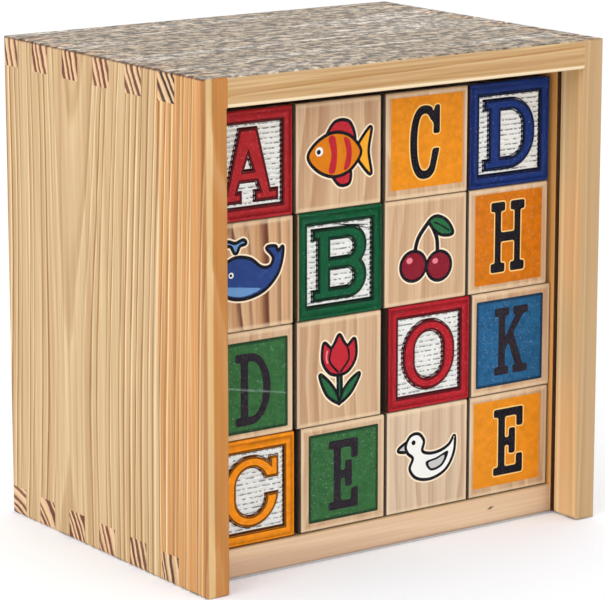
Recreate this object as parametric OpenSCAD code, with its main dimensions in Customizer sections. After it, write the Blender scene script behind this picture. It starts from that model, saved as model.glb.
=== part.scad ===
// Alphabet blocks standing in a finger-jointed pine crate behind a clear sliding cover.
// The origin is under the middle of the crate, at the height of the ground it stands on.
// The open front faces -Y, +X is to the right of the front, and the cover draws out downwards.

/* [Blocks] */
// Height of one block, which is 1 1/4 inch
block = 31.75; // [25:0.25:45]
// Width and depth of one block, which lie across the grain and have shrunk a little
block_w = 31; // [25:0.25:45]
// Blocks side by side
columns = 4; // [2:1:4]
// Blocks on top of each other
rows = 4; // [2:1:4]
// Blocks one behind the other
layers = 3; // [1:1:3]
// Rounding of the block's edges
block_round = 0.9; // [0.4:0.1:2]

/* [Raised letters] */
// Width of the painted border round a raised letter
border_w = 3.8; // [2.5:0.1:5]
// How deep the white ground lies under the border and the letter
relief_depth = 0.8; // [0.4:0.1:1.5]
// Width of a raised letter
letter_w = 18.8; // [15:0.1:20.5]
// Height of a raised letter
letter_h = 20.7; // [17:0.1:22.5]
// Width of a letter's heavy strokes
stem_w = 4; // [3.4:0.1:4.8]
// Width of a letter's light strokes
light_w = 3; // [2.2:0.1:3.4]
// Thickness of the slab serifs
slab_t = 2.7; // [2:0.1:3.4]
// How far the slab serifs stand out from a stem
slab_out = 1.8; // [1.2:0.1:2.2]

/* [Crate] */
// Thickness of the two side boards
side_t = 7.75; // [6:0.25:12]
// Thickness of the top and bottom boards
deck_t = 8.7; // [7:0.1:14]
// Thickness of the plywood back panel
back_t = 2.25; // [2:0.25:5]
// How far the back panel is let into the four boards
rabbet_w = 3.5; // [2:0.25:5]
// Room left across a row of blocks, shared by all its gaps
play_across = 3.2; // [0.4:0.1:4]
// Room left over the top row of blocks
headroom = 3.4; // [1:0.1:8]
// Room left along the three layers of blocks
play_along = 0.25; // [0.1:0.05:2]
// How far the blocks stand back from the bottom board's front edge
block_setback = 0.8; // [0.2:0.05:4]

/* [Finger joints] */
// Fingers of the top and bottom boards that show on each side
fingers = 6; // [3:1:8]
// Width of the side board's own finger at the front
front_finger_w = 14.8; // [13:0.1:20]
// Width of each finger of the top and bottom boards
finger_w = 8.8; // [6:0.1:10]
// Glue line beside each finger
joint_gap = 0.1; // [0.02:0.01:0.3]

/* [Sliding cover] */
// Thickness of the clear sheet
cover_t = 1.6; // [1:0.1:3]
// Width of the boards' lip in front of the sheet
lip_w = 10.4; // [5:0.1:12]
// Depth of the grooves that hold the sheet
groove_depth = 3; // [1.5:0.1:4]
// Gap between the sheet's faces and what it runs past
cover_face_gap = 0.2; // [0.1:0.05:0.5]
// Gap between the sheet's edges and the bottom of its grooves
cover_edge_gap = 0.3; // [0.1:0.05:1]
// Height of the sheet's lower edge over the ground
cover_foot_gap = 0.3; // [0.1:0.1:2]
// Rounding of the sheet's corners
cover_round = 1; // [0.3:0.1:3]

/* [Rounded edges] */
// Rounding of the crate's upright edges
upright_round = 1.6; // [0.5:0.1:3]
// Rounding of the crate's level edges
level_round = 1; // [0.3:0.1:3]
// Rounding of the boards' edges round the opening
mouth_round = 0.9; // [0.3:0.1:2]
// Rounding under the side boards' two front feet
foot_round = 1.5; // [0.5:0.1:3]

/* [Hidden] */
$fn = 48;
// How far a cutting shape runs past the face that it cuts
overrun = 1;

inner_w = columns * block_w + play_across;
inner_h = rows * block + headroom;
crate_w = inner_w + 2 * side_t;
crate_h = inner_h + 2 * deck_t;
groove_w = cover_t + 2 * cover_face_gap;
bottom_front = lip_w + groove_w + cover_face_gap;
block_front = bottom_front + block_setback;
layer_gap = play_along / layers;
crate_d = block_front + layers * block_w + play_along + back_t;
front_y = -crate_d / 2;
ceiling_z = crate_h - deck_t;
finger_gap_w = (crate_d - front_finger_w - fingers * finger_w) / (fingers - 1);
finger_pitch = finger_w + finger_gap_w;
ground_w = block_w - 2 * border_w;
ground_h = block - 2 * border_w;
sheet_top_z = ceiling_z + groove_depth - cover_edge_gap;
sheet_half_w = inner_w / 2 + groove_depth - cover_edge_gap;

// Share of the room across a row that lies left of each block, and right of the last, from the top row down
gap_shares = [
    [0.12, 0.08, 0.24, 0.03, 0.53],
    [0.16, 0.22, 0.03, 0.03, 0.56],
    [0.12, 0.19, 0.61, 0.03, 0.05],
    [0.28, 0.47, 0.03, 0.03, 0.19]
];

// What the front layer shows, from the top row down
front_kinds = [
    ["raised", "picture", "print", "raised"],
    ["picture", "raised", "picture", "print"],
    ["print", "picture", "raised", "print"],
    ["raised", "print", "picture", "print"]
];
front_letters = [
    ["A", "K", "C", "D"],
    ["E", "B", "O", "H"],
    ["D", "H", "O", "K"],
    ["C", "E", "A", "E"]
];
front_colours = [
    ["firebrick", "burlywood", "darkorange", "royalblue"],
    ["burlywood", "seagreen", "burlywood", "darkorange"],
    ["seagreen", "burlywood", "firebrick", "steelblue"],
    ["darkorange", "seagreen", "burlywood", "darkorange"]
];
alphabet = ["A", "B", "C", "D", "E", "H", "K", "O"];
layer_names = ["front", "middle", "rear"];

function block_name(layer, row, col) =
    str(layer_names[layer], "_block_row", row + 1, "_col", col + 1);

BLOCK_NODES = [
    for (layer = [0 : layers - 1]) for (row = [0 : rows - 1]) for (col = [0 : columns - 1])
        block_name(layer, row, col)
];

function gap_share_before(row, col) = col < 0 ? 0 : gap_shares[row][col] + gap_share_before(row, col - 1);
function block_left(row, col) = -inner_w / 2 + col * block_w + play_across * gap_share_before(row, col);
function block_base(row) = deck_t + (rows - 1 - row) * block;
function block_face(layer) = front_y + block_front + layer * (block_w + layer_gap);
function finger_front(i) = front_y + front_finger_w + i * finger_pitch;

// Flat shapes

module round_rect(w, h, r) {
    if (w > 2 * r) square([w - 2 * r, h], center = true);
    if (h > 2 * r) square([w, h - 2 * r], center = true);
    for (x = [-1, 1]) for (y = [-1, 1])
        translate([x * (w / 2 - r), y * (h / 2 - r)]) circle(r);
}

// A plate from x = 0 to w, with its two right-hand corners rounded
module right_round(w, h, r) {
    plate(0, w - r, -h / 2, h / 2);
    if (h > 2 * r) plate(0, w, r - h / 2, h / 2 - r);
    intersection() {
        plate(0, w, -h / 2, h / 2);
        for (y = [-1, 1]) translate([w - r, y * (h / 2 - r)]) circle(r);
    }
}

// A plate from x0 to x1 and from y0 to y1
module plate(x0, x1, y0, y1) {
    translate([x0, y0]) square([x1 - x0, y1 - y0]);
}

// Letters, each centred in letter_w by letter_h

left_x = -letter_w / 2;
right_x = letter_w / 2;
base_y = -letter_h / 2;
cap_y = letter_h / 2;
stem_x = left_x + slab_out;

// An upright stem with a slab at its foot and at its head
module slab_stem(x) {
    plate(x, x + stem_w, base_y, cap_y);
    for (y = [base_y, cap_y - slab_t]) plate(x - slab_out, x + stem_w + slab_out, y, y + slab_t);
}

// A stem whose slabs stand out to the left only, where a bowl or arms begin
module left_stem() {
    plate(stem_x, stem_x + stem_w, base_y, cap_y);
    for (y = [base_y, cap_y - slab_t]) plate(left_x, stem_x + stem_w, y, y + slab_t);
}

module letter_a() {
    apex_w = stem_w + slab_out;
    foot_w = stem_w + 2 * slab_out;
    bar_y = base_y + slab_t + light_w;
    foot_x = right_x + slab_out / 3;
    leg_x = foot_x - slab_out;
    inner_x = leg_x - 0.7 * stem_w;
    difference() {
        polygon([[-leg_x, base_y], [-apex_w / 2, cap_y], [apex_w / 2, cap_y], [leg_x, base_y]]);
        polygon([[-inner_x, base_y - overrun], [0, cap_y - 1.8 * stem_w], [inner_x, base_y - overrun]]);
    }
    intersection() {
        plate(left_x, right_x, bar_y, bar_y + light_w);
        polygon([[-leg_x, base_y], [-apex_w / 2, cap_y], [apex_w / 2, cap_y], [leg_x, base_y]]);
    }
    plate(-foot_x, foot_w - foot_x, base_y, base_y + slab_t);
    plate(foot_x - foot_w, foot_x, base_y, base_y + slab_t);
}

module letter_b() {
    bowl_h = (letter_h + light_w) / 2;
    bowl_y = (letter_h - bowl_h) / 2;
    bowl_w = right_x - stem_x;
    hole_h = bowl_h - 2 * light_w;
    difference() {
        union() {
            left_stem();
            for (y = [-1, 1]) translate([stem_x, y * bowl_y]) right_round(bowl_w, bowl_h, bowl_h / 2);
        }
        for (y = [-1, 1]) translate([stem_x + stem_w, y * bowl_y])
            right_round(bowl_w - 2 * stem_w, hole_h, hole_h / 2);
    }
}

module letter_c() {
    mouth_top = slab_t + slab_out / 2;
    difference() {
        round_rect(letter_w, letter_h, letter_w / 2);
        round_rect(letter_w - 2 * stem_w, letter_h - 2 * light_w, letter_w / 2 - stem_w);
        plate(0, right_x + overrun, -light_w / 2, mouth_top);
    }
    plate(right_x - slab_t, right_x, mouth_top, cap_y - slab_out / 2);
}

module letter_d() {
    bowl_w = right_x - stem_x;
    hole_h = letter_h - 2 * light_w;
    hole_w = bowl_w - 2 * stem_w;
    difference() {
        union() {
            left_stem();
            translate([stem_x, 0]) right_round(bowl_w, letter_h, bowl_w / 2 + slab_out / 2);
        }
        translate([stem_x + stem_w, 0]) right_round(hole_w, hole_h, bowl_w / 2 + slab_out / 2 - stem_w);
    }
}

module letter_e() {
    tip_h = slab_t + light_w;
    left_stem();
    for (y = [base_y, cap_y - light_w]) plate(stem_x, right_x, y, y + light_w);
    plate(right_x - slab_t, right_x, base_y, base_y + tip_h + slab_out);
    plate(right_x - slab_t, right_x, cap_y - tip_h - slab_out, cap_y);
    plate(stem_x, right_x - 2 * slab_t, -light_w / 2, light_w / 2);
    plate(right_x - 3 * slab_t, right_x - 2 * slab_t, -tip_h / 2, tip_h / 2);
}

module letter_h() {
    slab_stem(stem_x);
    slab_stem(right_x - slab_out - stem_w);
    plate(stem_x, right_x - slab_out, -light_w / 2, light_w / 2);
}

module letter_k() {
    slab_stem(stem_x);
    waist_x = stem_x + stem_w;
    knee_x = waist_x + light_w;
    foot_x = right_x - slab_out;
    polygon([[waist_x, -light_w], [foot_x, cap_y], [foot_x - light_w, cap_y], [waist_x, light_w / 2]]);
    polygon([
        [knee_x, light_w], [knee_x + stem_w, light_w + 1.2 * stem_w],
        [foot_x, base_y], [foot_x - stem_w, base_y]
    ]);
    plate(foot_x - light_w - slab_out, right_x, cap_y - slab_t, cap_y);
    plate(foot_x - stem_w - slab_out, right_x, base_y, base_y + slab_t);
}

module letter_o() {
    difference() {
        round_rect(letter_w, letter_h, letter_w / 2);
        round_rect(letter_w - 2 * stem_w, letter_h - 2 * light_w, letter_w / 2 - stem_w);
    }
}

module letter(name) {
    if (name == "A") letter_a();
    if (name == "B") letter_b();
    if (name == "C") letter_c();
    if (name == "D") letter_d();
    if (name == "E") letter_e();
    if (name == "H") letter_h();
    if (name == "K") letter_k();
    if (name == "O") letter_o();
}

// Blocks

// The ground that is cut away round a letter, standing up behind the block's face at y = 0
module relief_cut(name) {
    translate([0, relief_depth, 0]) rotate([90, 0, 0]) linear_extrude(relief_depth + overrun)
        difference() {
            square([ground_w, ground_h], center = true);
            letter(name);
        }
}

// A square block from the origin, w wide and deep and h high, with all its edges rounded
module round_block(w, h, r) {
    translate([w / 2, w / 2, h / 2]) intersection() {
        translate([0, 0, -h / 2]) linear_extrude(h) round_rect(w, w, r);
        translate([0, w / 2, 0]) rotate([90, 0, 0]) linear_extrude(w) round_rect(w, h, r);
        translate([-w / 2, 0, 0]) rotate([90, 0, 90]) linear_extrude(w) round_rect(w, h, r);
    }
}

// A block with the same raised letter on two opposite faces: front and back, or left and right
module letter_block(name, faces_front) {
    turns = faces_front ? [0, 180] : [90, 270];
    difference() {
        round_block(block_w, block, block_round);
        for (turn = turns) translate([block_w / 2, block_w / 2, block / 2]) rotate([0, 0, turn])
            translate([0, -block_w / 2, 0]) relief_cut(name);
    }
}

module placed_block(layer, row, col) {
    hidden_letter = alphabet[(layer * 5 + row * 3 + col) % len(alphabet)];
    name = layer == 0 ? front_letters[row][col] : hidden_letter;
    faces_front = layer == 0 ? front_kinds[row][col] == "raised" : (layer + row + col) % 2 == 0;
    tint = layer == 0 ? front_colours[row][col] : "burlywood";
    color(tint) translate([block_left(row, col), block_face(layer), block_base(row)])
        letter_block(name, faces_front);
}

// Crate

// The sanded outside of the whole crate, which trims each board's outer edges
module crate_outside() {
    intersection() {
        linear_extrude(crate_h) round_rect(crate_w, crate_d, upright_round);
        translate([0, crate_d / 2, crate_h / 2]) rotate([90, 0, 0])
            linear_extrude(crate_d) round_rect(crate_w, crate_h, level_round);
        translate([-crate_w / 2, 0, crate_h / 2]) rotate([90, 0, 90])
            linear_extrude(crate_w) round_rect(crate_d, crate_h, level_round);
    }
}

// What a rounding takes off an edge that runs along +Z from the origin, with the wood towards +X and +Y
module edge_cut(length, r) {
    translate([-overrun, -overrun]) linear_extrude(length) difference() {
        square(r + overrun);
        translate([r + overrun, r + overrun]) circle(r);
    }
}

// The space of the fingers at height z0 in one side board, or the fingers themselves
module finger_row(x0, x1, z0, trim) {
    for (i = [0 : fingers - 1])
        translate([x0, finger_front(i) + trim, z0]) cube([x1 - x0, finger_w - 2 * trim, deck_t]);
}

// The rabbet for the back panel, cut into all four boards
module back_pocket() {
    translate([-inner_w / 2 - rabbet_w, -front_y - back_t, deck_t - rabbet_w])
        cube([inner_w + 2 * rabbet_w, back_t + overrun, inner_h + 2 * rabbet_w]);
}

// The grooves that hold the sheet: one in each side board and one in the top board
module cover_groove() {
    translate([-inner_w / 2 - groove_depth, front_y + lip_w, -overrun])
        cube([inner_w + 2 * groove_depth, groove_w, ceiling_z + groove_depth + overrun]);
}

// The left-hand board, which the right-hand one mirrors
module side_board() {
    outer_x = -crate_w / 2;
    inner_x = -inner_w / 2;
    intersection() {
        crate_outside();
        difference() {
            translate([outer_x, front_y, 0]) cube([side_t, crate_d, crate_h]);
            finger_row(outer_x - overrun, inner_x + overrun, ceiling_z, 0);
            finger_row(outer_x - overrun, inner_x + overrun, 0, 0);
            translate([0, 0, ceiling_z]) finger_row(outer_x - overrun, inner_x + overrun, overrun, 0);
            translate([0, 0, -overrun]) finger_row(outer_x - overrun, inner_x + overrun, 0, 0);
            cover_groove();
            back_pocket();
            translate([inner_x, front_y, 0]) rotate([0, 0, 90]) edge_cut(ceiling_z, mouth_round);
            translate([inner_x, front_y, 0]) rotate([-90, 90, 0]) rotate([0, 0, 90])
                edge_cut(bottom_front, foot_round);
        }
    }
}

module left_side() {
    color("wheat") side_board();
}

module right_side() {
    color("wheat") mirror([1, 0, 0]) side_board();
}

module top_board() {
    color("tan") intersection() {
        crate_outside();
        difference() {
            union() {
                translate([-inner_w / 2, front_y, ceiling_z]) cube([inner_w, crate_d, deck_t]);
                finger_row(-crate_w / 2, crate_w / 2, ceiling_z, joint_gap);
            }
            cover_groove();
            back_pocket();
            translate([-inner_w / 2 - overrun, front_y, ceiling_z]) rotate([90, 0, 90])
                edge_cut(inner_w + 2 * overrun, mouth_round);
        }
    }
}

module bottom_board() {
    board_y = front_y + bottom_front;
    color("wheat") intersection() {
        crate_outside();
        difference() {
            union() {
                translate([-inner_w / 2, board_y, 0]) cube([inner_w, crate_d - bottom_front, deck_t]);
                finger_row(-crate_w / 2, crate_w / 2, 0, joint_gap);
            }
            back_pocket();
            translate([-inner_w / 2 - overrun, board_y, 0]) rotate([90, 0, 90])
                edge_cut(inner_w + 2 * overrun, mouth_round);
            translate([inner_w / 2 + overrun, board_y, deck_t]) rotate([90, 0, -90]) rotate([0, 0, 180])
                edge_cut(inner_w + 2 * overrun, mouth_round);
        }
    }
}

module back_panel() {
    panel_w = inner_w + 2 * rabbet_w - 2 * joint_gap;
    panel_h = inner_h + 2 * rabbet_w - 2 * joint_gap;
    color("tan") translate([-panel_w / 2, -front_y - back_t, deck_t - rabbet_w + joint_gap])
        cube([panel_w, back_t, panel_h]);
}

module sliding_cover() {
    sheet_h = sheet_top_z - cover_foot_gap;
    sheet_y = front_y + lip_w + cover_face_gap;
    color("lightblue", 0.3) translate([0, sheet_y + cover_t, cover_foot_gap + sheet_h / 2])
        rotate([90, 0, 0]) linear_extrude(cover_t) round_rect(2 * sheet_half_w, sheet_h, cover_round);
}

left_side();
right_side();
top_board();
bottom_board();
back_panel();
sliding_cover();
for (layer = [0 : layers - 1]) for (row = [0 : rows - 1]) for (col = [0 : columns - 1])
    placed_block(layer, row, col);
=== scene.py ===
import math

import bpy
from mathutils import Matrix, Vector


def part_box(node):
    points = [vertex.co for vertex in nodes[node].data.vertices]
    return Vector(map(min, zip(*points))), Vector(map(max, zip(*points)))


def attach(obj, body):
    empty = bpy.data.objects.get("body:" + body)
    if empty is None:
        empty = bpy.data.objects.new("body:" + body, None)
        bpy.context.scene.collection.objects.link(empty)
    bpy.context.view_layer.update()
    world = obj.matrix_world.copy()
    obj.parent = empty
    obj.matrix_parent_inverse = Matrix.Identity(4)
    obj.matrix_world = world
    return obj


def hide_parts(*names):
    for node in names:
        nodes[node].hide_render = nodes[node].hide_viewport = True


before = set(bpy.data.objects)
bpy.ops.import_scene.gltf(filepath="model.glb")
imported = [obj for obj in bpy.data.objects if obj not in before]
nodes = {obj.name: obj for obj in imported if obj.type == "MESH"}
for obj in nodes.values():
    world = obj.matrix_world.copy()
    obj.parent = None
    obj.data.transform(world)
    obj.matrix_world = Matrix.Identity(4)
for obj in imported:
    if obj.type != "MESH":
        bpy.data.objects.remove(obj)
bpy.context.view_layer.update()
mm = 0.001
print("frame loaded with", len(nodes), "nodes")


# a link is one output of a shader node, and a sum on it adds a Math node
class Link:
    def __init__(self, finish, socket):
        self.finish = finish
        self.socket = socket

    def math(self, operation, *others):
        return self.finish.node("Math", {"operation": operation}, dict(enumerate((self,) + others)))

    def __add__(self, other):
        return self.math("ADD", other)

    def __sub__(self, other):
        return self.math("SUBTRACT", other)

    def __rsub__(self, other):
        return self.finish.node("Math", {"operation": "SUBTRACT"}, {0: other, 1: self})

    def __mul__(self, other):
        return self.math("MULTIPLY", other)

    def __truediv__(self, other):
        return self.math("DIVIDE", other)

    __radd__ = __add__
    __rmul__ = __mul__

    def fraction(self):
        return self.math("FRACT")

    def whole(self):
        return self.math("FLOOR")

    def size(self):
        return self.math("ABSOLUTE")

    def least(self, other):
        return self.math("MINIMUM", other)

    def most(self, other):
        return self.math("MAXIMUM", other)

    def rise(self, start, end, low=0.0, high=1.0):  # smooth step from start to end
        return self.finish.node("MapRange", {"interpolation_type": "SMOOTHSTEP"}, {
            "Value": self, "From Min": start, "From Max": end, "To Min": low, "To Max": high})

    def between(self, start, end, low, high):  # straight line, clamped
        return self.finish.node("MapRange", {}, {
            "Value": self, "From Min": start, "From Max": end, "To Min": low, "To Max": high})


class Finish:
    def __init__(self, name):
        self.material = bpy.data.materials.new(name)
        self.material.use_nodes = True
        self.tree = self.material.node_tree
        self.tree.nodes.clear()

    def node(self, kind, settings=None, values=None, out=0):
        made = self.tree.nodes.new("ShaderNode" + kind)
        for key, value in (settings or {}).items():
            setattr(made, key, value)
        for key, value in (values or {}).items():
            if isinstance(value, Link):
                self.tree.links.new(value.socket, made.inputs[key])
            else:
                made.inputs[key].default_value = value
        return Link(self, made.outputs[out])

    def place(self):  # the point in millimetres, as three links
        spot = self.node("TexCoord", out="Object")
        spot = self.node("VectorMath", {"operation": "SCALE"}, {0: spot, "Scale": 1000.0})
        return [self.node("SeparateXYZ", {}, {0: spot}, out) for out in range(3)]

    def point(self, x, y, z):
        return self.node("CombineXYZ", {}, {0: x, 1: y, 2: z})

    def noise(self, point, scale=1.0, detail=2.0, roughness=0.5, out=0):
        return self.node("TexNoise", {}, {
            "Vector": point, "Scale": scale, "Detail": detail, "Roughness": roughness}, out)

    def blend(self, factor, first, second, how="MIX"):
        return self.node("Mix", {"data_type": "RGBA", "blend_type": how}, {0: factor, 6: first, 7: second}, 2)

    def finishWith(self, shader):
        output = self.tree.nodes.new("ShaderNodeOutputMaterial")
        self.tree.links.new(shader.socket, output.inputs["Surface"])
        return self.material


def tint(red, green, blue):  # screen colour, 0 to 255, as a linear colour
    def linear(value):
        value = value / 255
        return value / 12.92 if value <= 0.04045 else ((value + 0.055) / 1.055) ** 2.4
    return (linear(red), linear(green), linear(blue), 1.0)


# wood is rings round a pith, cut by the board's faces: pith is across and deep, in millimetres
def woodColour(finish, look):
    x, y, z = finish.place()
    along, across, deep = {"X": (x, y, z), "Y": (y, x, z), "Z": (z, y, x)}[look["grain"]]
    seed = look["seed"]
    farAlong = (along - look["middle"]) / look["half"]
    lowAlong = along * look["bendAlong"]
    bend = finish.noise(finish.point(across * 0.03 + seed, deep * 0.03, lowAlong), detail=1.0)
    ripple = finish.noise(finish.point(across * 0.3, deep * 0.3 + seed, along * 0.02), detail=2.0)
    toPith = deep - look["pith"][1] + (farAlong + 0.4) * (farAlong + 0.4) * look["bow"]
    aside = across - look["pith"][0] - farAlong * look["lean"]
    fromPith = (aside * aside + toPith * toPith).math("SQRT")
    radius = fromPith + along * look["taper"] + (bend - 0.5) * look["bend"] + (ripple - 0.5) * look["ripple"]
    drift = finish.node("TexNoise", {"noise_dimensions": "1D"}, {
        "W": radius * 0.16 + seed, "Scale": 1.0, "Detail": 1.0})
    count = radius / look["ringWidth"] + (drift - 0.5) * look["uneven"]
    ring = count.fraction()
    tone = finish.node("TexWhiteNoise", {"noise_dimensions": "1D"}, {"W": count.whole() + seed})
    otherTone = finish.node("TexWhiteNoise", {"noise_dimensions": "1D"}, {"W": count.whole() + seed + 31.7})
    late = ring.rise(look["lateFrom"], 0.84) * (1 - ring.rise(0.92, 1.0))
    early = (1 - ring.rise(0.06, look["earlyTo"])) * ring.rise(0.0, 0.05)
    if look.get("plain"):  # rings cut flat show faintly
        late = late * aside.size().rise(*look["plain"], 0.3, 1.0)
        early = early * aside.size().rise(*look["plain"], 0.25, 1.0)
    if look.get("warm"):  # a band of heartwood along one edge
        start, end, warmTint, amount = look["warm"]
        warmth = (across + (ripple - 0.5) * 3).rise(start, end) * amount
        late = late * (1 + warmth * 0.3)
    fibre = finish.noise(finish.point(across * 3.2, deep * 3.2, along * 0.07), detail=3.0, roughness=0.65)
    streak = finish.noise(finish.point(across * 1.1 + seed, deep * 1.1, along * 0.012), detail=2.0)
    fine = finish.noise(finish.point(across * 2.4, deep * 2.4 + seed, along * 0.02), detail=1.0)
    body = finish.blend(tone, look["pale"], look["middleTint"])
    dark = finish.blend(otherTone, look["dark"], look["darker"])
    if look.get("warm"):
        body = finish.blend(warmth, body, warmTint)
    colour = finish.blend(early * look["cream"] * otherTone.between(0, 1, 0.3, 1.0), body, look["creamTint"])
    colour = finish.blend(late * look["contrast"] * tone.between(0, 1, 0.35, 1.0), colour, dark)
    colour = finish.blend(streak.between(0.5, 0.8, 0.0, look["streaks"]), colour, look["dark"])
    colour = finish.blend(streak.between(0.5, 0.2, 0.0, look["streaks"] * 0.8), colour, look["creamTint"])
    shade = (fibre.between(0.25, 0.75, 1 - look["fibre"], 1 + look["fibre"])
             * fine.between(0.3, 0.7, 1 - look["fibre"] * 0.8, 1 + look["fibre"] * 0.8))
    colour = finish.node("VectorMath", {"operation": "SCALE"}, {0: colour, "Scale": shade})
    height = late * 0.5 + fibre * 0.5
    if look.get("endGrain"):  # end grain where the board's ends lie
        end = farAlong.size().rise(1 - 0.75 / look["half"], 1 - 0.2 / look["half"])
        pores = finish.noise(finish.point(across * 5, deep * 5, along * 5), detail=2.0, roughness=0.7)
        lines = ring.rise(0.4, 0.48) * (1 - ring.rise(0.84, 0.94)) * otherTone.between(0, 1, 0.85, 1.0)
        soft = (1 - (ring - 0.22).size().rise(0.0, 0.24)) * 0.9
        endColour = finish.blend(soft, look["endPale"], look["endLight"])
        lineTint = finish.blend(y.rise(-38, -8) * 0.5, look["endDark"], look["endRed"])
        endColour = finish.blend(lines * look["endContrast"], endColour, lineTint)
        endColour = finish.node("VectorMath", {"operation": "SCALE"}, {
            0: endColour, "Scale": pores.between(0.3, 0.7, 0.84, 1.12)})
        colour = finish.blend(end, colour, endColour)
    if look.get("grey"):
        level, topShadeTint, amount = look["grey"]  # painted shade: the upper face is darkened and greyed to look less lit than the sides
        speck = finish.noise(finish.point(x * 0.2, y * 0.36, 4.0), detail=3.0, roughness=0.75)
        dots = finish.noise(finish.point(x * 0.6, y * 0.4, 15.0), detail=1.0)
        streaky = finish.noise(finish.point(x * 0.012, y * 0.13, 9.0), detail=3.0, roughness=0.6)
        worn = finish.blend(look["show"], topShadeTint, colour)
        worn = finish.blend(streaky.between(0.5, 0.66, 0.0, 0.6), worn, look["worn"])
        line = 1 - (y - look["wornLine"] - x * 0.03).size().rise(0.6, 1.8)
        worn = finish.blend(line * 0.5, worn, look["worn"])
        speckled = speck.between(0.42, 0.58, 0.3, 1.6) * dots.between(0.34, 0.42, 0.4, 1.0)
        worn = finish.node("VectorMath", {"operation": "SCALE"}, {0: worn, "Scale": speckled})
        colour = finish.blend(z.rise(level - 0.5, level) * amount, colour, worn)
    for limits, zoneTint, amount in look.get("zones", ()):
        inside = amount
        for axis, start, full in limits:
            inside = {"x": x, "y": y, "z": z}[axis].rise(start, full) * inside
        colour = finish.blend(inside, colour, zoneTint)
    for knotX, knotZ, knotLength, knotHeight in look.get("knots", ()):
        away = ((x - knotX) / knotLength).size() + ((z - knotZ - (x - knotX) * 0.2) / knotHeight).size()
        colour = finish.blend((1 - away.rise(0.4, 1.0)) * 0.85, colour, look["endDark"])
    return colour, height, fibre


def woodFinish(name, look):
    finish = Finish(name)
    colour, height, fibre = woodColour(finish, look)
    # blocks get painted shade in their gaps and a painted highlight on their edges
    if look.get("gaps"):
        colour = paintGapShadeAndRimHighlight(finish, colour, look["gaps"])
    bump = finish.node("Bump", {}, {"Height": height, "Strength": 0.5, "Distance": look["relief"] * mm})
    rough = fibre.between(0.2, 0.8, look["rough"] - 0.07, look["rough"] + 0.07)
    shader = finish.node("BsdfPrincipled", {}, {
        "Base Color": colour, "Roughness": rough, "Normal": bump, "Specular IOR Level": 0.25})
    return finish.finishWith(shader)


# spans and tints for the painted shade in the gaps and the painted highlight on the block edges' rims
gapShadeLook = {
    "from": 0.42, "to": 0.7, "dark": 0.92, "tint": tint(34, 18, 12),
    "rimFrom": 0.8, "rimTo": 1.9, "rimAmount": 0.45, "rimTint": tint(242, 218, 182),
    "levelAmount": 0.6, "footFrom": 0.35, "footTo": 0.75, "footAmount": 0.8,
}


def paintGapShadeAndRimHighlight(finish, colour, node, rimAmount=gapShadeLook["rimAmount"]):  # painted shade in the joints and on the top and bottom faces, with a painted highlight on the front edges' rims
    low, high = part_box(node)
    x, y, z = finish.place()
    across = (high.x - low.x) / (2 * mm) - (x - (low.x + high.x) / (2 * mm)).size()
    level = (high.z - low.z) / (2 * mm) - (z - (low.z + high.z) / (2 * mm)).size()
    # painted highlight: a cream rim along the rounded front edges
    rim = 1 - across.least(level).rise(gapShadeLook["rimFrom"], gapShadeLook["rimTo"])
    colour = finish.blend(rim * rimAmount, colour, gapShadeLook["rimTint"])
    # painted shade: dark bands where blocks meet, nearly black on their top and bottom faces
    edge = (1 - across.rise(gapShadeLook["from"], gapShadeLook["to"])) * gapShadeLook["dark"]
    edge = edge.most((1 - level.rise(0.1, 0.32)) * gapShadeLook["levelAmount"])
    edge = edge.most((1 - level.rise(0.01, 0.05)) * 0.97)
    if "row4" in node:  # painted shade also where the lowest row meets the board
        foot = z - low.z / mm
        edge = edge.most((1 - foot.rise(gapShadeLook["footFrom"], gapShadeLook["footTo"])) * gapShadeLook["footAmount"])
    return finish.blend(edge, colour, gapShadeLook["tint"])


crateLook = {
    "pale": tint(208, 177, 134), "middleTint": tint(195, 159, 114), "creamTint": tint(240, 214, 168),
    "dark": tint(168, 124, 70), "darker": tint(144, 96, 48),
    "cream": 1.0, "contrast": 1.0, "streaks": 0.5, "fibre": 0.07,
    "ringWidth": 3.6, "uneven": 2.1, "earlyTo": 0.34, "lateFrom": 0.66,
    "bendAlong": 0.007, "bend": 4.0, "ripple": 1.1, "taper": 0.006, "bow": 0.0, "lean": 0.0,
    "middle": 73.9, "half": 73.9,
    # the grey entry paints shade on the upper face: its level, tint and amount
    "grey": (147.7, tint(146, 132, 114), 1.0), "worn": tint(206, 200, 190), "wornLine": -7.0, "show": 0.16,
    "endGrain": True, "endPale": tint(212, 168, 124), "endLight": tint(236, 202, 160),
    "endDark": tint(24, 12, 8), "endRed": tint(136, 58, 34), "endContrast": 0.97,
    "rough": 0.5, "relief": 0.05, "seed": 3.1,
}
deckRun = {"grain": "X", "middle": 0.0, "half": 71.35}
orangeWood = tint(206, 144, 80)
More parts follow.
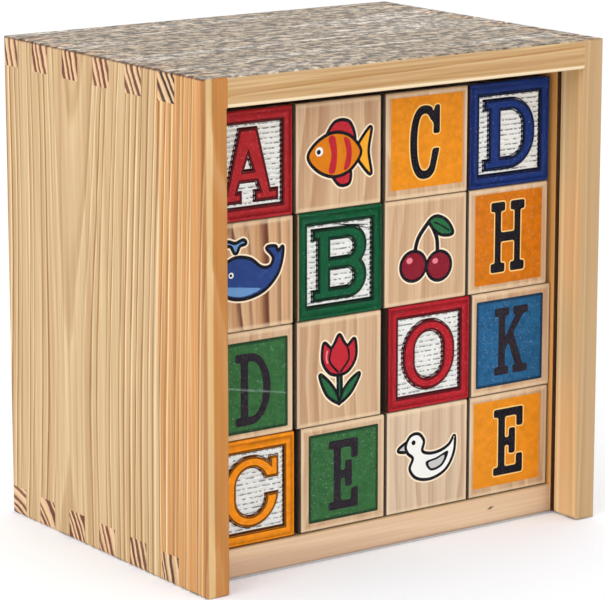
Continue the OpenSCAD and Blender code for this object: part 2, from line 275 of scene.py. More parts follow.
# a zone has its limits, each with an axis, where it starts and where it is full, then a tint and an amount
cornerZone = ((("x", -70.6, -71.1), ("z", 146.9, 147.5)), tint(70, 34, 18), 0.7)
leftZones = [
    ((("y", -53.05, -53.95), ("x", -69.0, -68.4)), tint(182, 118, 52), 0.82),
    ((("y", -53.65, -54.25), ("x", -68.6, -69.2)), tint(214, 178, 124), 0.85),
    ((("y", -52.25, -53.25), ("x", -70.4, -70.9)), tint(150, 92, 46), 0.6),
    cornerZone,
]
innerWall = ("x", 64.1, 63.7)
rightZones = [
    # painted light: the board's inner side in front of and behind the groove is lightened, as it lies in shade
    ((innerWall, ("y", -42.1, -44.1)), tint(250, 206, 148), 0.6),
    ((innerWall, ("y", -44.6, -42.5)), tint(255, 180, 96), 0.9),
    ((innerWall, ("y", -46.6, -45.9), ("y", -44.8, -45.3)), tint(250, 226, 176), 0.7),
    # painted shade: the groove is darkened
    ((("x", 63.7, 63.9), ("x", 67.5, 67.0), ("y", -44.3, -44.1), ("y", -41.8, -42.0)), tint(70, 30, 10), 0.9),
    ((("y", -53.45, -54.25),), tint(184, 148, 106), 0.75),
]
topZones = [
    ((("y", -53.0, -54.0), ("z", 147.6, 146.7)), tint(182, 138, 84), 0.55),
    # painted highlight: a cream line along the rail's lower front edge
    ((("y", -53.2, -54.0), ("z", 140.5, 139.9)), tint(250, 232, 196), 0.75),
    cornerZone,
]
crateFinishes = {
    "left_side": dict(crateLook, grain="Z", pith=(17.5, -55.5), bow=3.6, lean=-2.6, ringWidth=2.9, uneven=1.8,
                      contrast=1.3, plain=(5.0, 16.0), show=0.6, warm=(-29.8, -30.5, orangeWood, 0.95),
                      zones=leftZones),
    "right_side": dict(crateLook, grain="Z", pith=(-30.0, 96.0), seed=11.4, ringWidth=3.0, plain=(6.0, 20.0),
                       show=0.6, zones=rightZones),
    "top_board": dict(crateLook, pith=(-75.0, 173.0), seed=7.7, ringWidth=2.6, taper=0.02, uneven=0.9,
                      fibre=0.16, streaks=0.8, zones=topZones, **deckRun),
    "bottom_board": dict(crateLook, pith=(58.0, -20.0), seed=19.2, ringWidth=2.9, contrast=0.8,
                         zones=[((("y", -41.2, -41.8),), tint(234, 198, 168), 0.55)],
                         knots=[(40.3, 5.1, 2.0, 0.6)], **dict(deckRun, dark=tint(160, 104, 70))),
    "back_panel": dict(crateLook, grain="Z", pith=(10.0, 75.0), seed=23.0, ringWidth=2.2, bend=16.0, uneven=3.0,
                       contrast=0.4, endGrain=False, grey=None),
}


def dress(piece, *finishes):
    for number, slot in enumerate(piece.material_slots):
        slot.link = "OBJECT"
        slot.material = finishes[min(number, len(finishes) - 1)]


for board, look in crateFinishes.items():
    dress(nodes[board], woodFinish(board + "_wood", look))
print("boards dressed")


blockLook = {
    "grain": "Z", "pale": tint(206, 170, 134), "middleTint": tint(194, 154, 118), "dark": tint(172, 130, 94),
    "darker": tint(160, 112, 76), "creamTint": tint(220, 190, 154),
    "cream": 0.6, "contrast": 0.5, "streaks": 0.4, "fibre": 0.07,
    "ringWidth": 2.1, "uneven": 1.5, "earlyTo": 0.4, "lateFrom": 0.4,
    "bendAlong": 0.02, "bend": 5.0, "ripple": 0.6, "taper": 0.02, "bow": 0.0, "lean": 0.0,
    "middle": 0.0, "half": 73.9, "rough": 0.5, "relief": 0.03,
}
stripedLook = dict(blockLook, pale=tint(208, 164, 120), middleTint=tint(194, 144, 98), dark=tint(110, 52, 26),
                   darker=tint(84, 36, 16), contrast=1.0, ringWidth=2.1, lateFrom=0.5, ripple=0.4)

greyLook = dict(blockLook, pale=tint(216, 192, 164), middleTint=tint(206, 178, 150))


def blockWood(node, look=blockLook):
    low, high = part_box(node)
    number = sum(ord(letter) * (place + 3) for place, letter in enumerate(node)) % 97
    middle = (low + high) / (2 * mm)
    pith = (middle.y + 30 + number * 0.4, middle.x + (number % 7 - 3) * 12)
    return dict(look, seed=number * 1.37, pith=pith, gaps=node)


hiddenWoods = {}
for node in nodes:
    if node.startswith(("middle_block", "rear_block")):
        key = node[:4] + node[-1]
        if key not in hiddenWoods:
            hiddenWoods[key] = woodFinish("hidden_wood_" + key, blockWood(node))
        dress(nodes[node], hiddenWoods[key])


def paintColour(finish, colour, mottle):
    x, y, z = finish.place()
    cloud = finish.noise(finish.point(x, y, z), scale=0.55, detail=3.0, roughness=0.6)
    speck = finish.noise(finish.point(x + 40, y, z), scale=2.2, detail=2.0)
    lighter = finish.blend(0.45, colour, (1, 1, 1, 1))
    darker = finish.blend(0.4, colour, (0, 0, 0, 1))
    colour = finish.blend(cloud.between(0.3, 0.7, 0.0, mottle), colour, darker)
    return finish.blend(speck.rise(0.64, 0.74) * mottle * 0.6, colour, lighter), cloud


def paintShader(finish, colour, height, rough, relief=0.03):
    bump = finish.node("Bump", {}, {"Height": height, "Strength": 0.5, "Distance": relief * mm})
    return finish.node("BsdfPrincipled", {}, {
        "Base Color": colour, "Normal": bump, "Roughness": rough, "Specular IOR Level": 0.08})


# several entries below size and colour the painted shade along the relief's edges
raisedPaint = {
    "border": 3.8, "depth": 0.8, "bevel": 0.2, "ribPitch": 1.49, "ribHeight": 0.22, "ribCount": 16,
    "rim": 0.3, "faceLine": 0.42, "rimHigh": 0.26, "rimWall": 0.03,
    "lineReach": 2.28, "wallDark": 0.92, "lineShare": 0.14,
}
white = tint(236, 235, 230)
nearBlack = tint(18, 14, 20)


def raisedFinish(name, node, colour, bareLeft=0.0):
    finish = Finish(name)
    low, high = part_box(node)
    middle = (low + high) / (2 * mm)
    x, y, z = finish.place()
    half = (high - low) / (2 * mm)
    depth = half.y - (y - middle.y).size()
    wood, height, fibre = woodColour(finish, blockWood(node))
    painted, cloud = paintColour(finish, colour, 0.6)
    # painted shade: the relief's sides are painted nearly black
    shadedWall = finish.blend(raisedPaint["wallDark"], painted, nearBlack)
    border = raisedPaint["border"]
    beyond = ((x - middle.x).size() - (half.x - border)).most((z - middle.z).size() - (half.z - border))
    inGround = 1 - beyond.rise(0.22, 0.3)
    result = finish.blend(1 - depth.rise(0.5, 0.7), wood, painted)
    if bareLeft:
        bare = 1 - (x - low.x / mm).rise(bareLeft - 0.15, bareLeft + 0.15)
        result = finish.blend(bare, result, wood)
    floor = raisedPaint["depth"]
    ground = finish.blend(depth.rise(floor - 0.05, floor - 0.02), shadedWall, white)
    inRelief = depth.rise(0.01, 0.04) * (1 - depth.rise(2 * floor - 0.1, 2 * floor))
    result = finish.blend(inGround * inRelief, result, ground)
    result = paintGapShadeAndRimHighlight(finish, result, node, 0.0)
    return finish.finishWith(paintShader(finish, result, cloud + fibre * 0.5, 0.38))


def ribFinish(name, node):  # white paint, with painted shade in the hollow below each rib
    finish = Finish(name)
    low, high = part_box(node)
    x, y, z = finish.place()
    fromMiddle = (z - (low.z + high.z) / (2 * mm)) / raisedPaint["ribPitch"]
    phase = (fromMiddle + (raisedPaint["ribCount"] - 1) / 2).fraction()
    patchNoise = finish.noise(finish.point(x * 0.8, y * 0.5, z * 0.7), detail=2.0, roughness=0.7)
    # painted shade: grey bands low in each hollow, broken up by noise
    furrowShade = (1 - (phase - 0.16).size().rise(0.06, 0.24)) * patchNoise.rise(0.4, 0.6)
    colour = finish.blend(furrowShade * 0.85, white, tint(84, 84, 88))
    return finish.finishWith(paintShader(finish, colour, patchNoise, 0.5))


def plainPaint(name, colour, mottle=0.25, rough=0.4):
    finish = Finish(name)
    painted, cloud = paintColour(finish, colour, mottle)
    x, y, z = finish.place()
    fibre = finish.noise(finish.point(x * 3.2, y * 3.2, z * 0.12), detail=2.0)
    return finish.finishWith(paintShader(finish, painted, fibre + cloud * 0.4, rough, 0.025))


def only(piece):
    bpy.ops.object.select_all(action="DESELECT")
    piece.select_set(True)
    bpy.context.view_layer.objects.active = piece


def applyAll(piece):
    only(piece)
    for modifier in list(piece.modifiers):
        bpy.ops.object.modifier_apply(modifier=modifier.name)
    bpy.ops.object.transform_apply(location=True, rotation=True, scale=True)


def copyOfNode(node, name):
    piece = nodes[node].copy()
    piece.data = nodes[node].data.copy()
    bpy.context.scene.collection.objects.link(piece)
    piece.parent = None
    piece.name = name
    for key in list(piece.keys()):
        del piece[key]
    only(piece)
    bpy.ops.object.mode_set(mode="EDIT")
    bpy.ops.mesh.select_all(action="SELECT")
    bpy.ops.mesh.remove_doubles(threshold=0.002 * mm)
    bpy.ops.mesh.dissolve_limited(angle_limit=math.radians(0.5))
    bpy.ops.object.mode_set(mode="OBJECT")
    return piece


raisedBlocks = {
    "front_block_row1_col1": ("raised_a", tint(180, 36, 42), "red_paint", 0.0),
    "front_block_row1_col4": ("raised_d", tint(22, 50, 118), "blue_paint", 0.0),
    "front_block_row2_col2": ("raised_b", tint(10, 88, 52), "green_paint", 0.9),
    "front_block_row3_col3": ("raised_o", tint(184, 28, 40), "red_paint", 0.0),
    "front_block_row4_col1": ("raised_c", tint(252, 148, 12), "orange_paint", 0.0),
}


def ribsOn(node, name):
    low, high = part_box(node)
    middle = (low + high) / 2
    width = high.x - low.x - 2 * raisedPaint["border"] * mm
    pitch = raisedPaint["ribPitch"] * mm
    count = raisedPaint["ribCount"]
    floor = low.y + raisedPaint["depth"] * mm
    bpy.ops.object.select_all(action="DESELECT")
    bpy.ops.mesh.primitive_cube_add(size=1)
    rib = bpy.context.object
    rib.name = name
    rib.scale = (width - 0.04 * mm, 2 * raisedPaint["ribHeight"] * mm, pitch * 0.62)
    rib.location = (middle.x, floor, middle.z - (count - 1) * pitch / 2)
    bpy.ops.object.transform_apply(location=True, rotation=True, scale=True)
    bevel = rib.modifiers.new("round", "BEVEL")
    bevel.width = raisedPaint["ribHeight"] * 0.8 * mm
    bevel.segments = 3
    row = rib.modifiers.new("row", "ARRAY")
    row.count = count
    row.use_relative_offset = False
    row.use_constant_offset = True
    row.constant_offset_displace = (0, 0, pitch)
    applyAll(rib)
    bpy.ops.object.shade_smooth_by_angle(angle=math.radians(40))
    rib.data.materials.append(ribFinish(name, node))
    return rib


def pickLevel(block, level):  # the faces that look forwards at this depth
    only(block)
    bpy.ops.object.mode_set(mode="EDIT")
    bpy.ops.mesh.select_mode(type="FACE")
    bpy.ops.mesh.select_all(action="DESELECT")
    bpy.ops.object.mode_set(mode="OBJECT")
    for face in block.data.polygons:
        face.select = face.normal.y < -0.99 and abs(face.center.y - level) < 0.01 * mm
        if face.select:
            face.material_index = 1
    bpy.ops.object.mode_set(mode="EDIT")


def leaveLine(block, middle, reach):  # what is still picked or lies outside the border gets the first paint
    bpy.ops.object.mode_set(mode="OBJECT")
    for face in block.data.polygons:
        away = face.center - middle
        if face.select or abs(away.x) > reach.x or abs(away.z) > reach.z:
            face.material_index = 0


def paintReliefShade(block, node):  # painted shade: dark bands along the edges of the relief, on its raised faces and on a thin raised rim at its foot
    low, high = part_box(node)
    middle = (low + high) / 2
    reach = (high - low) / 2 - Vector((1, 1, 1)) * raisedPaint["lineReach"] * mm
    pickLevel(block, low.y)
    bpy.ops.mesh.inset(thickness=raisedPaint["faceLine"] * mm, depth=0.0, use_boundary=True)
    leaveLine(block, middle, reach)
    pickLevel(block, low.y + raisedPaint["depth"] * mm)
    bpy.ops.transform.translate(value=(0, -raisedPaint["rimHigh"] * mm, 0))
    bpy.ops.mesh.inset(thickness=raisedPaint["rim"] * mm, depth=0.0, use_boundary=True)
    bpy.ops.mesh.inset(thickness=raisedPaint["rimWall"] * mm, depth=-raisedPaint["rimHigh"] * mm,
                       use_boundary=True)
    leaveLine(block, middle, reach)


for node, (name, colour, slotName, bareLeft) in raisedBlocks.items():
    block = copyOfNode(node, name)
    bevel = block.modifiers.new("soft", "BEVEL")
    bevel.width = raisedPaint["bevel"] * mm
    bevel.segments = 2
    bevel.limit_method = "ANGLE"
    bevel.angle_limit = math.radians(50)
    applyAll(block)
    bpy.ops.object.shade_smooth_by_angle(angle=math.radians(35))
    block.data.materials.append(None)
    paintReliefShade(block, node)
    # the painted shade is a dark share of the paint's colour
    dark = tuple(value * raisedPaint["lineShare"] for value in colour[:3]) + (1.0,)
    dress(block, raisedFinish(name + "_paint", node, colour, bareLeft), plainPaint(name + "_line", dark, 0.1))
    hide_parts(node)
    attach(block, "crate")
    ribs = ribsOn(node, name + "_ribs")
    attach(ribs, "crate")
print("raised blocks made")


# flat prints: outlines in millimetres from the middle of a block's face

def softened(points, radius, steps=4):  # corners rounded by a little arc
    result = []
    count = len(points)
    for number, corner in enumerate(points):
        corner = Vector(corner)
        before = Vector(points[number - 1]) - corner
        after = Vector(points[(number + 1) % count]) - corner
        cut = min(radius, before.length * 0.45, after.length * 0.45)
        start = corner + before.normalized() * cut
        end = corner + after.normalized() * cut
        for step in range(steps + 1):
            t = step / steps
            result.append(start * (1 - t) ** 2 + corner * 2 * t * (1 - t) + end * t * t)
    return result


def smoothed(points, steps=6):  # a closed curve through the points
    result = []
    count = len(points)
    for number in range(count):
        a, b, c, d = (Vector(points[(number + shift) % count]) for shift in (-1, 0, 1, 2))
        for step in range(steps):
            t = step / steps
            result.append(0.5 * (2 * b + (c - a) * t + (2 * a - 5 * b + 4 * c - d) * t * t
                                 + (3 * b - a - 3 * c + d) * t ** 3))
    return result


def disc(x, y, radius, stretch=1.0, steps=28):
    return [Vector((x + radius * math.cos(turn), y + radius * stretch * math.sin(turn)))
            for turn in (2 * math.pi * step / steps for step in range(steps))]


def clearOf(point, points, gap):  # whether a point keeps this gap to a closed outline
    for number, corner in enumerate(points):
        start = Vector(points[number - 1])
        span = Vector(corner) - start
        share = (point - start).dot(span) / max(span.length_squared, 1e-9)
        if (point - start - span * min(max(share, 0.0), 1.0)).length < gap:
            return False
    return True


def grown(points, by):  # every point moved outwards, or inwards, without those that cross over in a notch
    area = sum(points[i - 1][0] * points[i][1] - points[i][0] * points[i - 1][1] for i in range(len(points)))
    side = 1 if area > 0 else -1
    result = []
    for number, point in enumerate(points):
        ahead = Vector(points[(number + 1) % len(points)]) - Vector(points[number - 1])
        out = Vector((ahead.y, -ahead.x)).normalized() * side
        result.append(Vector(point) + out * by)
    return [point for point in result if clearOf(point, points, by * 0.85)]


def line(points, width, steps=6):  # an open stroke with round ends
    path = []
    for number in range(len(points) - 1):
        a = Vector(points[max(number - 1, 0)])
        b, c = Vector(points[number]), Vector(points[number + 1])
        d = Vector(points[min(number + 2, len(points) - 1)])
        for step in range(steps):
            t = step / steps
            path.append(0.5 * (2 * b + (c - a) * t + (2 * a - 5 * b + 4 * c - d) * t * t
                               + (3 * b - a - 3 * c + d) * t ** 3))
    path.append(Vector(points[-1]))
    left, right = [], []
    for number, point in enumerate(path):
        ahead = path[min(number + 1, len(path) - 1)] - path[max(number - 1, 0)]
        out = Vector((-ahead.y, ahead.x)).normalized() * width / 2
        left.append(point + out)
        right.append(point - out)
    tip = (path[-1] - path[-2]).normalized() * width * 0.4
    tail = (path[0] - path[1]).normalized() * width * 0.4
    return left + [path[-1] + tip] + right[::-1] + [path[0] + tail]


letIn = 0.02  # how far a plate is let into the block


def flatPiece(name, outlines, node, level, finish, shift=(0.0, 0.0)):
    low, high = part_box(node)
    middle = (low + high) / 2
    bpy.ops.object.select_all(action="DESELECT")
    bpy.ops.curve.primitive_bezier_circle_add(radius=mm)
    shape = bpy.context.object
    shape.name = name
    curve = shape.data
    curve.dimensions = "2D"
    curve.fill_mode = "BOTH"
    curve.splines.clear()
    for outline in outlines:
        spline = curve.splines.new("POLY")
        spline.points.add(len(outline) - 1)
        for point, (u, v) in zip(spline.points, outline):
            point.co = ((u + shift[0]) * mm, (v + shift[1]) * mm, 0, 1)
        spline.use_cyclic_u = True
    inside = letIn * mm
    curve.extrude = (level * mm + inside) / 2
    shape.rotation_euler = (math.radians(90), 0, 0)
    shape.location = (middle.x, low.y - curve.extrude + inside, middle.z)
    bpy.ops.object.convert(target="MESH")
    shape = bpy.context.object
    applyAll(shape)
    bpy.ops.object.mode_set(mode="EDIT")
    bpy.ops.mesh.select_all(action="SELECT")
    bpy.ops.mesh.remove_doubles(threshold=0.001 * mm)
    bpy.ops.mesh.normals_make_consistent(inside=False)
    bpy.ops.object.mode_set(mode="OBJECT")
    shape.data.materials.clear()
    shape.data.materials.append(finish)
    return shape


def joined(name, pieces):
    only(pieces[0])
    for piece in pieces[1:]:
        piece.select_set(True)
    if len(pieces) > 1:
        bpy.ops.object.join()
    whole = bpy.context.object
    whole.name = name
    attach(whole, "crate")
    return whole


# printed letters: narrow, with slabs
letterLook = {"stem": 2.6, "slab": 2.5, "soft": 0.8, "out": 1.8, "tip": 6.0, "halo": 0.4}


def printedE(w, h, look):
    s, t, out, tip = look["stem"], look["slab"], look["out"], look["tip"]
    x0, x1, y0, y1 = -w / 2, w / 2, -h / 2, h / 2
    stem = x0 + out
    bar = stem + s + 1.5
    half = 4.0
    return [[(x0, y0), (x1, y0), (x1, y0 + tip), (x1 - t, y0 + tip), (x1 - t, y0 + t), (stem + s, y0 + t),
             (stem + s, -t / 2), (bar, -t / 2), (bar, -half), (bar + t, -half), (bar + t, half), (bar, half),
             (bar, t / 2), (stem + s, t / 2), (stem + s, y1 - t), (x1 - t, y1 - t), (x1 - t, y1 - tip),
             (x1, y1 - tip), (x1, y1), (x0, y1), (x0, y1 - t), (stem, y1 - t), (stem, y0 + t), (x0, y0 + t)]]


def printedH(w, h, look):
    s, t, out = look["stem"] - 0.3, look["slab"] + 0.3, look["out"]
    x0, x1, y0, y1 = -w / 2, w / 2, -h / 2, h / 2
    foot = s + 2 * out * 0.85
    left, right = x0 + out * 0.85, x1 - out * 0.85
    return [[(x0, y0), (x0 + foot, y0), (x0 + foot, y0 + t), (left + s, y0 + t), (left + s, -t / 2),
             (right - s, -t / 2), (right - s, y0 + t), (x1 - foot, y0 + t), (x1 - foot, y0), (x1, y0),
             (x1, y0 + t), (right, y0 + t), (right, y1 - t), (x1, y1 - t), (x1, y1), (x1 - foot, y1),
             (x1 - foot, y1 - t), (right - s, y1 - t), (right - s, t / 2), (left + s, t / 2),
             (left + s, y1 - t), (x0 + foot, y1 - t), (x0 + foot, y1), (x0, y1), (x0, y1 - t),
             (left, y1 - t), (left, y0 + t), (x0, y0 + t)]]


def printedK(w, h, look):
    s, t, out = look["stem"], look["slab"], look["out"]
    x0, x1, y0, y1 = -w / 2, w / 2, -h / 2, h / 2
    foot = s + 2 * out * 0.85
    left = x0 + out * 0.85
    return [[(x0, y0), (x0 + foot, y0), (x0 + foot, y0 + t), (left + s, y0 + t), (left + s, -2.6),
             (left + s + 1.3, -0.6), (x1 - foot + 0.9, y0 + t), (x1 - foot, y0 + t), (x1 - foot, y0), (x1, y0),
             (x1, y0 + t), (x1 - out, y0 + t), (left + s + 3.2, 2.2), (x1 - out * 0.9, y1 - t), (x1, y1 - t),
             (x1, y1), (x1 - foot, y1), (x1 - foot, y1 - t), (x1 - foot + 0.9, y1 - t), (left + s, 1.2),
             (left + s, y1 - t), (x0 + foot, y1 - t), (x0 + foot, y1), (x0, y1), (x0, y1 - t),
             (left, y1 - t), (left, y0 + t), (x0, y0 + t)]]


def printedD(w, h, look):
    s, t, out = look["stem"], look["slab"], look["out"]
    x0, x1, y0, y1 = -w / 2, w / 2, -h / 2, h / 2
    stem = x0 + out

    def bowl(right, high, start):
        turns = [math.pi / 2 - math.pi * step / 14 for step in range(15)]
        return [(start + (right - start) * math.cos(turn), high * math.sin(turn)) for turn in turns]

    outer = [(x0, y1), (stem + 3.2, y1)] + bowl(x1, y1, stem + 3.2)[1:-1] + [
        (stem + 3.2, y0), (x0, y0), (x0, y0 + t), (stem, y0 + t), (stem, y1 - t), (x0, y1 - t)]
    inner = [(stem + s, y1 - t), (stem + 3.8, y1 - t)] + bowl(x1 - s, y1 - t, stem + 3.8)[1:-1] + [
        (stem + 3.8, y0 + t), (stem + s, y0 + t)]
    return [outer, inner]


def printedC(w, h, look):
    s, t = look["stem"], look["slab"]
    top, x1 = h / 2, w / 2

    def full(turn, wide, high):  # fuller than an ellipse
        across, up = math.cos(turn), math.sin(turn)
        return (wide * math.copysign(abs(across) ** 0.8, across), high * math.copysign(abs(up) ** 0.9, up))

    outer = [full(math.radians(66 + 244 * step / 30), w / 2, top) for step in range(31)]
    turns = [math.radians(50 + 260 * step / 30) for step in range(31)]
    inner = [full(turn, w / 2 - s, top - t) for turn in reversed(turns)]
    serif = [(x1 - 2.2, top - 5.4), (x1 - 2.3, top - 8.6), (x1 + 0.1, top - 8.6), (x1 + 0.1, top - 0.1),
             (x1 - 1.6, top - 0.1), (x1 - 2.3, top - 2.0)]
    lower = [(x1 + 0.1, -top + 8.9), (x1 - 2.5, -top + 8.9)]
    return [outer + lower + inner + serif]


letterShapes = {"C": printedC, "D": printedD, "E": printedE, "H": printedH, "K": printedK}
groundTints = {
    "orange": (tint(216, 118, 4), 0.7, 0.0),
    "amber": (tint(236, 144, 22), 0.5, 0.0),
    "green": (tint(54, 108, 58), 0.9, 0.9),
    "blue": (tint(34, 98, 144), 0.9, 0.9),
}
inks = {
    "orange": plainPaint("orange_print", tint(222, 126, 12), 0.3),
    "black": plainPaint("black_print", tint(20, 15, 24), 0.1, 0.4),
    "faded": plainPaint("faded_print", tint(40, 32, 40), 0.3, 0.45),
    "halo": plainPaint("halo_print", tint(250, 208, 130), 0.2),
}


def groundPaint(name, node, ink, square):  # the ink lies thickest along the print's edges
    finish = Finish(name)
    low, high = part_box(node)
    middle = (low + high) / (2 * mm)
    colour, mottle, edgeDark = groundTints[ink]
    x, y, z = finish.place()
    painted, cloud = paintColour(finish, colour, mottle)
    left, right, bottom, top = square
    fromEdge = ((x - middle.x - left).least(right - (x - middle.x))).least(
        (z - middle.z - bottom).least(top - (z - middle.z)))
    dark = finish.blend(0.75, painted, nearBlack)
    painted = finish.blend((1 - (fromEdge + (cloud - 0.5) * 0.7).rise(0.6, 1.15)) * edgeDark, painted, dark)
    return finish.finishWith(paintShader(finish, painted, cloud, 0.42, 0.025))


printLevels = {"ground": 0.03, "halo": 0.045, "letter": 0.06}
# node: letter, ink, bare wood on the left, right, top and bottom, the letter's size, how far right and up it is
printedBlocks = {
    "front_block_row1_col3": ("C", "amber", (2.4, 2.2, 1.7, 3.0), (10.8, 21.8), (-0.85, -0.25)),
    "front_block_row2_col4": ("H", "orange", (2.9, 2.6, 1.8, 2.3), (12.8, 21.4), (-0.35, 0.3)),
    "front_block_row3_col1": ("D", "green", (2.2, 2.2, 3.1, 1.9), (12.2, 21.2), (1.25, -0.65)),
    "front_block_row3_col4": ("K", "blue", (2.2, 3.2, 2.6, 2.4), (12.8, 20.7), (0.55, 0.2)),
    "front_block_row4_col2": ("E", "green", (3.2, 2.7, 2.5, 2.7), (10.6, 21.0), (-0.1, 0.0)),
    "front_block_row4_col4": ("E", "amber", (2.0, 3.3, 2.1, 2.9), (11.3, 20.7), (0.55, 0.0)),
}
for node, (letter, ink, bare, size, shift) in printedBlocks.items():
    low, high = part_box(node)
    half = (high - low) / (2 * mm)
    left, right, top, bottom = -half.x + bare[0], half.x - bare[1], half.z - bare[2], -half.z + bare[3]
    square = softened([(left, bottom), (right, bottom), (right, top), (left, top)], 0.5)
    outlines = [softened(outline, letterLook["soft"]) for outline in letterShapes[letter](*size, letterLook)]
    middle = ((left + right) / 2 + shift[0], (top + bottom) / 2 + shift[1])
    name = "printed_" + letter.lower() + node[-10:]
    ground = groundPaint(name + "_ground", node, ink, (left, right, bottom, top))
    bright = ink in ("orange", "amber")
    letterInk = inks["black" if bright else "faded"]
    layers = [flatPiece(name, [square], node, printLevels["ground"], ground)]
    if bright:
        halo = [grown(outline, letterLook["halo"]) for outline in outlines]
        layers.append(flatPiece(name + "_halo", halo, node, printLevels["halo"], inks["halo"], middle))
    layers.append(flatPiece(name + "_ink", outlines, node, printLevels["letter"], letterInk, middle))
    joined(name, layers)
    dress(nodes[node], woodFinish(node + "_wood", blockWood(node)))
print("printed letters made")


# pictures: a black shape lies under each filled one

pictureInks = {
    "black": inks["black"],
    "round": plainPaint("pale_print", tint(246, 228, 198), 0.1),
    "white": plainPaint("white_print", tint(240, 238, 232), 0.08),
    "grey": plainPaint("grey_print", tint(196, 194, 192), 0.1),
    "red": plainPaint("red_print", tint(190, 36, 48), 0.3),
    "darkRed": plainPaint("dark_red_print", tint(134, 22, 40), 0.3),
    "pink": plainPaint("pink_print", tint(232, 128, 140), 0.2),
    "yellow": plainPaint("yellow_print", tint(246, 172, 44), 0.2),
    "orange": inks["orange"],
    "green": plainPaint("leaf_print", tint(36, 104, 60), 0.3),
    "blue": plainPaint("deep_blue_print", tint(40, 66, 128), 0.35),
    "skyBlue": plainPaint("sky_blue_print", tint(104, 150, 200), 0.2),
}
pictureLook = {"outline": 1.1, "paleEdge": 0.5, "fill": 0.1, "topLevel": 0.09}

fish = [
    ("yellow", smoothed([(6.0, 0), (8.6, 4.4), (11.6, 6.8), (10.6, 0), (11.6, -6.8), (8.6, -4.4)])),
    ("red", smoothed([(-4.5, 4.6), (-1.4, 9.4), (3.8, 9.0), (5.6, 3.4), (0, 3.6)])),
    ("red", smoothed([(-2.4, -4.6), (0, -8.8), (3.8, -8.6), (3.6, -4.2)])),
    ("orange", smoothed([(-10.8, 0.2), (-7.6, 4.2), (-2, 6.4), (3.6, 5.2), (7.4, 1.4), (7.4, -1.4), (3.6, -5.2),
                         (-2, -6.3), (-7.6, -4)])),
]
fishTop = [
    ("red", smoothed([(-3.6, 4.9), (-1.4, 5.2), (-0.6, 0), (-1.4, -5.0), (-3.6, -4.8), (-2.6, 0)])),
    ("red", smoothed([(1.8, 4.6), (3.8, 3.8), (4.6, 0), (3.8, -3.8), (1.8, -4.6), (2.7, 0)])),
    ("white", disc(-6.9, 1.4, 1.35)),
    ("black", disc(-7.1, 1.3, 0.7)),
]
whale = [
    ("blue", smoothed([(-10.8, -0.8), (-9.6, 3.6), (-5.2, 6.0), (0.2, 5.2), (4.4, 2.2), (7.6, 2.2), (8.6, 4.8),
                       (6.2, 7.8), (9.4, 8.0), (10.4, 6.4), (12.2, 7.6), (11.8, 3.4), (9.8, -1.2), (5.0, -5.2),
                       (-2.0, -6.8), (-8.2, -5.4)])),
    ("skyBlue", smoothed([(-5.4, 7.6), (-6.6, 9.6), (-8.6, 10.0), (-7.6, 11.2), (-5.0, 10.4), (-2.2, 11.2),
                          (-1.2, 10.0), (-3.4, 9.4), (-4.4, 7.6)], 4)),
]
whaleTop = [
    ("skyBlue", smoothed([(-9.8, -2.4), (-6, -2.8), (0, -3.6), (4.0, -4.4), (-2.0, -6.0), (-7.8, -4.9)])),
    ("white", disc(-6.6, 0.9, 0.9)),
    ("black", disc(-6.7, 0.9, 0.45)),
]
cherries = [
    ("black", line([(-4.4, -1.0), (-2.8, 4.2), (1.4, 9.0)], 0.3)),
    ("black", line([(4.6, -1.8), (4.2, 3.6), (1.4, 9.0)], 0.3)),
    ("green", smoothed([(1.4, 9.0), (4.4, 10.2), (8.4, 8.2), (10.6, 4.2), (6.6, 4.0), (3.2, 6.0)])),
    ("darkRed", disc(-4.8, -4.6, 4.9, 0.95)),
    ("darkRed", disc(5.2, -5.6, 4.7, 0.97)),
]
cherriesTop = [
    ("pink", disc(-6.3, -2.7, 1.2, 0.8)),
    ("pink", disc(3.7, -3.9, 1.1, 0.8)),
    ("black", line([(3.2, 8.4), (6.2, 7.0), (9.0, 5.2)], 0.5)),
]
tulip = [
    ("green", line([(0, -0.5), (0.2, -5.0), (0, -10.4)], 1.3)),
    ("green", smoothed([(-0.3, -10.4), (-4.8, -7.2), (-7.4, -0.8), (-4.4, -2.8), (-1.4, -6.6)])),
    ("green", smoothed([(0.3, -10.4), (4.6, -7.6), (7.8, -2.2), (4.6, -3.6), (1.6, -6.8)])),
    ("red", smoothed([(-5.8, 9.0), (-3.2, 7.2), (-1.8, 8.4), (0, 11.0), (1.8, 8.4), (3.2, 7.2), (5.8, 9.0),
                      (6.3, 3.4), (3.6, -0.6), (0, -1.6), (-3.6, -0.6), (-6.3, 3.4)])),
]
tulipTop = [
    ("black", line([(-3.0, 7.0), (-3.6, 3.0), (-0.4, -0.8)], 0.7)),
    ("black", line([(3.0, 7.0), (3.6, 3.0), (0.4, -0.8)], 0.7)),
    ("pink", line([(-4.6, 6.4), (-4.9, 4.2), (-4.4, 2.6)], 0.6)),
]
duck = [
    ("grey", smoothed([(-7.6, 6.4), (-11.2, 4.9), (-11.4, 3.7), (-7.6, 3.4)])),
    ("white", smoothed([(-8.7, 5.2), (-6.8, 8.2), (-3.6, 8.5), (-1.4, 5.9), (-2.0, 2.6), (1.2, 1.3), (5.4, 1.6),
                        (9.0, 3.2), (11.2, 5.8), (10.9, 0.2), (7.6, -5.0), (1.6, -7.2), (-4.2, -6.2),
                        (-7.0, -2.8), (-5.8, 0.6), (-7.8, 2.6)])),
]
duckTop = [
    ("black", smoothed([(-0.6, -1.4), (3.8, -0.4), (8.6, 1.0), (6.4, -3.4), (1.6, -4.6)])),
    ("grey", smoothed([(0.6, -1.8), (3.8, -1.1), (7.0, -0.2), (5.6, -2.9), (1.9, -3.8)])),
    ("black", disc(-5.6, 5.9, 0.8)),
]
